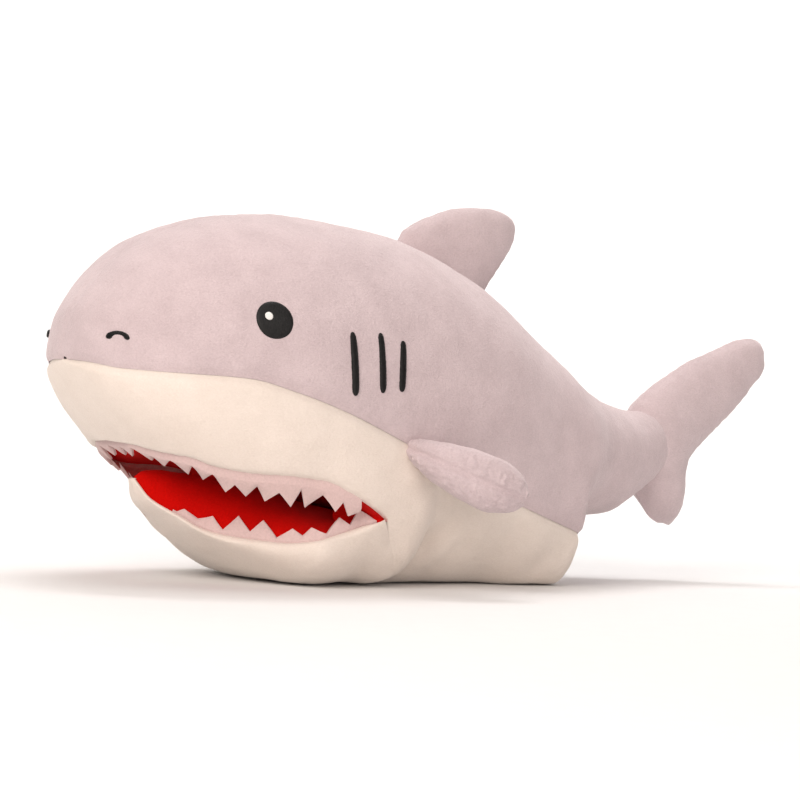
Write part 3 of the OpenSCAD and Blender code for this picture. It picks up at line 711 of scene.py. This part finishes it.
def felt_object(name, strips, body, node):
    """Closed felt strips: strips lists (front, back, flip)."""
    points, faces = [], []
    for front, back, flip in strips:
        n, m = front.shape[:2]
        base, total = len(points), n * m
        points += list(front.reshape(-1, 3)) + list(back.reshape(-1, 3))
        own = grid_faces(n, m, base) + grid_faces(n, m, base + total, True)
        rim = [k * m for k in range(n)] + [(n - 1) * m + i for i in range(1, m)]
        rim += [k * m + m - 1 for k in range(n - 2, -1, -1)] + list(range(m - 2, 0, -1))
        for a, b in zip(rim, rim[1:] + rim[:1]):
            own.append((base + a, base + b, base + total + b, base + total + a))
        faces += [f[::-1] for f in own] if flip else own
    obj = mesh_object(name, points, faces, shade=False)
    bevel = obj.modifiers.new("soft_edges", "BEVEL")
    bevel.width = 0.22 * MM
    bevel.segments = 2
    bevel.angle_limit = math.radians(50)
    return finish_piece(obj, FELT, body, [node])


def lip_frame(y, z):
    """Points on the left of the trunk at y and z, the way down along the cloth, and the way out of it."""
    e = 0.5
    p = trunk_raw(y, angle_at(y, z))
    py = trunk_raw(y + e, angle_at(y + e, z)) - trunk_raw(y - e, angle_at(y - e, z))
    pz = trunk_raw(y, angle_at(y, z + e)) - trunk_raw(y, angle_at(y, z - e))
    out = unit(np.cross(py, pz))
    down = unit(np.array([0, 0, -1.0]) + out * out[..., 2:])
    return p, down, out


def aside_share(share):
    """0 in the middle of the snout and 1 at either mouth corner."""
    return np.abs(2 * share - 1)


def upper_band(share):
    """Height of the valleys between the upper teeth."""
    side = aside_share(share)
    return 3.2 + 3.4 * smooth(0.4, 0.62, side) - 1.4 * smooth(0.65, 0.8, side)


def upper_height(share):
    """Height of the tips of the upper teeth."""
    side = aside_share(share)
    return 10 + 3.6 * smooth(0.3, 0.66, side) - 3 * smooth(0.7, 1, side)


def upper_strip():
    """The upper teeth, from the right mouth corner round the snout to the left one."""
    turn = np.radians(np.linspace(4, 90, 160))
    back = CORNER_Y - 16
    y = LIP_FRONT + 0.4 + (back - LIP_FRONT) * (1 - np.cos(turn))
    p, down, out = lip_frame(y, lip_z(y))
    left = np.concatenate([p, down, out], -1)
    right = np.concatenate([mirrored(v) for v in (p, down, out)], -1)[::-1]
    whole = np.concatenate([right, left])
    share, drop = teeth(UPPER_COUNT, upper_band, upper_height, 0.16, 2.0)
    s = lengths(whole[:, None, :3], 0)[:, 0]
    along = np.stack([np.interp(share * s[-1], s, whole[:, c]) for c in range(9)], -1)
    curl = 0.7 * np.sin(share * 61) - 0.5 - 1.0 * (1 - smooth(0.3, 0.55, aside_share(share)))
    return (*felt_strip(along[:, :3], unit(along[:, 3:6]), unit(along[:, 6:]), drop, curl), True)


def lower_band(share):
    """Height of the valleys between the lower teeth, from the front to the mouth corner."""
    return 0.4 + 3.9 * smooth(-0.02, 0.1, share) - 1.3 * smooth(0.7, 1, share)


def lower_height(share):
    """Height of the tips of the lower teeth."""
    return 5.5 + 5.5 * smooth(0, 0.35, share) - 2 * smooth(0.4, 0.6, share)


def lower_strip(side):
    """The lower teeth of one side, sewn over the top of the rolled lip."""
    y = np.linspace(-170, -88, 200)
    rim_x, rim_z = jaw_rim(y)
    over_roll = -0.4 + 1.6 * smooth(-168, -145, y) - 1.4 * smooth(-106, -94, y)
    line = np.stack([rim_x + over_roll, y, rim_z - 1.6], -1)
    share, drop = teeth(LOWER_COUNT, lower_band, lower_height, 0.14, 4.0)
    line = resampled(line, share)
    along = unit(np.gradient(line, axis=0))
    out = unit(np.stack([along[:, 1], -along[:, 0], 0 * along[:, 0]], -1))
    up = unit(np.array([0, 0, 1.0]) - along * along[:, 2:] * 0.4 - 0.12 * out)
    front, back = felt_strip(line, up, out, drop, -0.6 + 0.6 * np.sin(share * 37))
    return (front, back, False) if side > 0 else (mirrored(front), mirrored(back), True)


felt_object("upper_felt_teeth", [upper_strip()], "trunk", "upper_teeth")
lower = felt_object("lower_felt_teeth", [lower_strip(1), lower_strip(-1)], None, "lower_teeth")
with_jaw(lower)


# ---------- embroidery ----------


def on_left(y, z, lift):
    """Points on the left side of the plush at y and z, lifted off it."""
    e = 0.5
    p = trunk_point(y, angle_at(y, z))
    py = trunk_point(y + e, angle_at(y + e, z)) - trunk_point(y - e, angle_at(y - e, z))
    pz = trunk_point(y, angle_at(y, z + e)) - trunk_point(y, angle_at(y, z - e))
    n = np.cross(py, pz)
    n /= np.linalg.norm(n, axis=-1, keepdims=True)
    return p + n * np.asarray(lift)[..., None]


THREAD = 0.55  # distance between neighbouring threads


def disc_of_thread(name, y, z, radius, height, material, slot, node, side, spacing=THREAD):
    """Embroidered disc: upright satin threads over a low dome."""
    count = max(12, int(radius * 2 / spacing * 6))
    u = np.linspace(-1, 1, count)[:, None] * radius
    reach = np.sqrt(np.maximum(radius**2 - u**2, 0.01))
    v = np.linspace(-1, 1, 41)[None, :] * reach
    r = np.sqrt(u**2 + v**2) / radius
    dome = height * np.sqrt(np.maximum(1 - r**2.4, 0))
    fuzz = noise_field(np.stack([u * 3 + 0 * v, v, 0 * v], -1), 0.9, 41)
    strands = 0.16 * np.abs(np.sin(math.pi * u / spacing)) + 0.06 * fuzz
    grid = on_left(y + u + 0 * v, z + v, dome + strands * np.minimum(1, 4 * (1 - r)) - 0.4)
    if side < 0:
        grid = mirrored(grid)
    obj = grid_object(name, grid, flip=side > 0)
    return finish_piece(obj, material, "trunk", [node])


def stroke_of_thread(name, lines, width, height, side, node):
    """Satin-stitched strokes: threads run across each line, and the ends taper."""
    parts = []
    for line in lines:
        line = resampled(np.array([(a, b, 0) for a, b in line], float), np.linspace(0, 1, 220))
        s = lengths(line[:, None], 0)[:, 0]
        d = np.gradient(line[:, :2], axis=0)
        d /= np.linalg.norm(d, axis=-1, keepdims=True)
        t = np.linspace(-1, 1, 13)[None, :]
        taper = np.sqrt(np.clip(1 - np.abs(2 * s / s[-1] - 1) ** 9, 0, 1))[:, None]
        ragged = 1 + 0.10 * noise_field(np.stack([s * 2, 0 * s, 0 * s], -1), 1.0, 47)[:, None]
        half = width / 2 * taper * ragged
        yy = line[:, :1] + -d[:, 1:] * t * half
        zz = line[:, 1:2] + d[:, :1] * t * half
        rib = 0.85 + 0.3 * np.abs(np.sin(math.pi * s / THREAD))[:, None]
        lift = height * np.sqrt(np.maximum(1 - t**2, 0)) * rib * np.sqrt(taper) - 0.3
        grid = on_left(yy, zz, lift)
        parts.append((mirrored(grid) if side < 0 else grid, side < 0))
    obj = joined(name, parts)
    return finish_piece(obj, BLACK, "trunk", [node])


# Centres (y, z) with radii, and the gill stitches from end to end
EYE = (-152, 122, 9.0)
GLINT = (-155.2, 123.5, 2.3)
GILLS = [[(-112, 119), (-110, 89)], [(-95.5, 119.5), (-94.3, 91)], [(-82, 116.5), (-83, 92)]]
NOSTRIL = (-215, 109.8, 2.5)

for side, word in ((1, "left"), (-1, "right")):
    disc_of_thread(f"eye_thread_{word}", *EYE, 1.5, BLACK, "black_thread", f"{word}_eye", side)
    disc_of_thread(f"eye_spot_{word}", *GLINT, 2.2, WHITE, "white_thread", f"{word}_eye_glint", side)
    stroke_of_thread(f"gill_thread_{word}", GILLS, 4.2, 1.5, side, f"{word}_gill_stitches")
    turn = np.radians(np.linspace(-15, 195, 20))
    arch = [(NOSTRIL[0] - NOSTRIL[2] * math.cos(t), NOSTRIL[1] + NOSTRIL[2] * math.sin(t)) for t in turn]
    stroke_of_thread(f"nostril_thread_{word}", [arch], 2.0, 1.1, side, f"{word}_nostril")


# ---------- fins ----------


def leaf_grid(rows, count, seed, dip=0.9, n=2.2, ruffle=0.0):
    """Stuffed fin: lens sections between a front and a back edge, sewn along both. Rows are
    (front edge, back edge, half thickness). ruffle is the height of the rubbed pile along the front
    seam. Returns a closed ring of columns for each section."""
    a = np.array([r[0] for r in rows], float)
    b = np.array([r[1] for r in rows], float)
    t = np.array([r[2] for r in rows], float)
    mid = (a + b) / 2
    s = np.concatenate([[0], np.cumsum(np.linalg.norm(np.diff(mid, axis=0), axis=1))])
    table = [(s[i], *a[i], *b[i], t[i]) for i in range(len(rows))]
    at = np.linspace(0, s[-1], count)
    ay, az, by, bz, thick = (curve(table, c)(at)[:, None] for c in range(1, 6))
    q = np.radians(np.linspace(0, 360, 96, endpoint=False))[None, :]
    u = (1 - np.cos(q)) / 2
    x = thick * spow(np.sin(q), 2 / n)
    grid = np.stack([x, ay + (by - ay) * u, az + (bz - az) * u], -1)
    chord = np.hypot(by - ay, bz - az)
    edge = np.minimum(u, 1 - u) * chord + np.abs(x) * 0.8
    along = at[:, None] + 0 * u
    groove = dip * np.exp(-((edge / 1.3) ** 2))
    wave = 0.5 + 0.5 * np.cos(2 * math.pi * along / 7 + seed)
    pucker = PUCKER_DEPTH * wave * np.exp(-edge / 5) * smooth(0, 1.5, edge)
    lump = 0.5 * noise_field(grid, 16, seed) + 0.25 * noise_field(grid, 7, seed + 1)
    if ruffle:
        near_front = np.exp(-((u * chord / 7) ** 2)) * smooth(0.5, 2.5, edge)
        rubbed = np.abs(noise_field(grid, 2.6, seed + 2)) + 0.6 * np.abs(noise_field(grid, 1.4, seed + 3))
        lump = lump + ruffle * near_front * (rubbed - 0.25)
    return grid + grid_normals(grid, ring=True) * (lump - groove - pucker)[..., None]


def leaf_object(name, grid, flip):
    """Closed mesh of a fin, its two ends gathered to a point."""
    rows, cols = grid.shape[:2]
    points = list(grid.reshape(-1, 3)) + [grid[0].mean(0), grid[-1].mean(0)]
    faces = grid_faces(rows, cols, 0, flip, True)
    for end, base in ((rows * cols, 0), (rows * cols + 1, (rows - 1) * cols)):
        for j in range(cols):
            f = (end, base + (j + 1) % cols, base + j)
            faces.append(f if (base == 0) != flip else f[::-1])
    return mesh_object(name, points, faces)


# Fin sections: front edge (y, z), back edge (y, z), half thickness
DORSAL = [
    ((-38, 160), (14, 134), 8), ((-36, 168), (19, 142), 8.6), ((-32, 175), (23, 150), 9.4),
    ((-25, 179.5), (27, 156), 10.2), ((-14, 184.5), (31, 162), 10.8), ((-4, 188), (35, 168), 10),
    ((8, 190.3), (38.3, 175), 8.6), ((18, 190.8), (39.3, 180.5), 6.6), ((26, 190.3), (38, 185), 4.2),
    ((30, 189), (36, 187), 1.6),
]
dorsal = leaf_object("dorsal_fin_skin", leaf_grid(DORSAL, 44, 51), flip=False)
finish_piece(dorsal, GREY, None,
             ["dorsal_panel_left", "dorsal_panel_right", "dorsal_stuffing"])
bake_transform(dorsal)

TAIL_FIN = [
    ((219.5, 131.5), (222, 130.5), 1.5), ((214, 132.2), (224.5, 125), 4.2), ((205, 131), (225, 118), 6.5),
    ((190, 125), (216, 105.5), 8.6), ((172, 118.5), (203.5, 93), 10.4), ((155.5, 109.5), (190, 81.5), 12.2),
    ((141, 100.5), (178.5, 73), 14), ((131, 91), (171, 66.5), 16), ((126, 78), (167, 60.5), 17),
    ((126, 64), (166, 53.5), 16.4), ((129.5, 52), (167, 46), 14), ((136, 43), (167, 38.5), 11),
    ((142.5, 35.5), (165, 32.5), 7.5), ((147.5, 30.5), (162, 28.5), 4.5), ((152, 28), (159.5, 27), 1.8),
]
tail_fin = leaf_object("tail_fin_skin", leaf_grid(TAIL_FIN, 110, 61), flip=True)
finish_piece(tail_fin, GREY, None,
             ["tail_fin_panel_left", "tail_fin_panel_right", "tail_fin_stuffing"])
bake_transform(tail_fin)

# Pectoral fin in its own plane: back along the trunk, out from the trunk
PECTORAL = [
    ((-5, -12), (15, -12), 5), ((-8, -5), (18, -5), 6.8), ((-8, 3), (20.5, 2), 8.8),
    ((-6.5, 9), (24, 7), 10.6), ((-2, 16), (28, 11.5), 12), ((5, 22.5), (32, 16.5), 13),
    ((14, 28), (36, 21.5), 13.2), ((24, 32), (40, 26), 11.4), ((32, 34), (43, 29.5), 8),
    ((37.5, 34), (43.5, 32), 4), ((40, 33.6), (42.5, 33), 1),
]
PECTORAL_AT = (78.5, -70, 62.5)
PECTORAL_TURN = (-16, 14, 3.5)  # degrees about X, Y and Z: down at the back, drooping, closing in


def pectoral_place():
    """Placement of the left pectoral fin on the trunk."""
    x, y, z = (math.radians(v) for v in PECTORAL_TURN)
    turn = Matrix.Rotation(z, 4, "Z") @ Matrix.Rotation(y, 4, "Y") @ Matrix.Rotation(x, 4, "X")
    return Matrix.Translation(Vector(PECTORAL_AT)) @ turn


leaf = leaf_grid(PECTORAL, 96, 71, dip=1.7, ruffle=1.5)
place = np.array(pectoral_place())
local = np.stack([leaf[..., 2], leaf[..., 1], -leaf[..., 0]], -1)
placed = local @ place[:3, :3].T + place[:3, 3]
root, out = Vector(PECTORAL_AT) + Vector((0, 0, REST_HEIGHT)), Vector(place[:3, 0])
for side, word in ((1, "left"), (-1, "right")):
    grid = placed if side > 0 else mirrored(placed)
    fin = leaf_object(f"pectoral_fin_skin_{word}", grid, flip=side < 0)
    nodes = [f"{word}_pectoral_{part}" for part in ("top_panel", "bottom_panel", "stuffing")]
    finish_piece(fin, GREY, None, nodes)
    start, end = (root - 7 * out) * MM, (root + 8 * out) * MM
    start.x, end.x = start.x * side, end.x * side
    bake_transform(fin)


# ---------- studio ----------

VIEW_AZIMUTH, VIEW_ELEVATION, VIEW_ROLL = (math.radians(v) for v in (54, 0, 3))
VIEW_TARGET, VIEW_DISTANCE, LENS, SENSOR = (0, -0.029, 0.092), 1.3, 114, 36
PALE = (0.8, 0.795, 0.79)


def backdrop():
    """Pale floor that curves up into a wall behind the toy."""
    profile = [(-2.6, 0), (1.2, 0)]
    profile += [(1.2 + 0.9 * math.sin(t), 0.9 - 0.9 * math.cos(t)) for t in np.radians(range(6, 91, 6))]
    profile += [(2.1, 3.6)]
    toward = np.array([-math.sin(VIEW_AZIMUTH), math.cos(VIEW_AZIMUTH), 0])
    aside = np.array([math.cos(VIEW_AZIMUTH), math.sin(VIEW_AZIMUTH), 0])
    rows = [[(toward * d + aside * w + np.array([0, 0, h])) / MM for w in (-4, 4)] for d, h in profile]
    floor = np.array([0, 0, REST_HEIGHT])
    obj = grid_object("backdrop", np.array(rows) - floor)
    mat, nodes, links, shader = new_material("pale_floor", PALE, 0.8)
    coords = nodes.new("ShaderNodeTexCoord").outputs["Object"]
    grain = noise_node(nodes, links, coords, 90, 3)
    dark, light = ([v + step for v in PALE] for step in (-0.005, 0.005))
    links.new(mix_colour(nodes, links, grain, dark, light), shader.inputs["Base Color"])
    obj.data.materials.append(mat)


def softbox(name, position, target, size, power, colour=(1, 1, 1)):
    """Round area light aimed at a target, in metres and watts."""
    light = bpy.data.lights.new(name, "AREA")
    light.shape = "DISK"
    light.size = size
    light.energy = power
    light.color = colour
    obj = bpy.data.objects.new(name, light)
    bpy.context.scene.collection.objects.link(obj)
    obj.location = position
    obj.rotation_euler = (Vector(target) - Vector(position)).to_track_quat("-Z", "Y").to_euler()


def camera():
    """View from the shark's left, ahead of it, level with its eye."""
    level = math.cos(VIEW_ELEVATION)
    back = Vector((math.sin(VIEW_AZIMUTH) * level, -math.cos(VIEW_AZIMUTH) * level, math.sin(VIEW_ELEVATION)))
    right = (-back).cross(Vector((0, 0, 1))).normalized()
    up = right.cross(-back)
    r = right * math.cos(VIEW_ROLL) + up * math.sin(VIEW_ROLL)
    u = up * math.cos(VIEW_ROLL) - right * math.sin(VIEW_ROLL)
    data = bpy.data.cameras.new("camera")
    data.lens, data.sensor_width = LENS, SENSOR
    cam = bpy.data.objects.new("camera", data)
    cam.matrix_world = Matrix((
        (r.x, u.x, back.x, 0), (r.y, u.y, back.y, 0), (r.z, u.z, back.z, 0), (0, 0, 0, 1),
    ))
    cam.location = Vector(VIEW_TARGET) + back * VIEW_DISTANCE
    bpy.context.scene.collection.objects.link(cam)
    bpy.context.scene.camera = cam


backdrop()
camera()
softbox("key", (0.85, -1.45, 0.95), (0, -0.05, 0.084), 1.1, 20.5, (1.0, 0.93, 0.87))
softbox("fill", (1.6, -0.6, 0.35), (0, -0.03, 0.06), 1.2, 7.5, (1.0, 0.91, 0.87))
softbox("top", (-0.2, 0.1, 2.0), (0, 0, 0.08), 1.4, 11, (1.0, 0.95, 0.92))
softbox("wall", (-0.75, 0.55, 2.3), (-1.9, 1.4, 0.9), 1.2, 45)
world = bpy.data.worlds.new("room")
world.use_nodes = True
world.node_tree.nodes["Background"].inputs["Color"].default_value = (1.0, 0.935, 0.91, 1)
world.node_tree.nodes["Background"].inputs["Strength"].default_value = 0.42
bpy.context.scene.world = world
bpy.context.scene.view_settings.view_transform = "Standard"
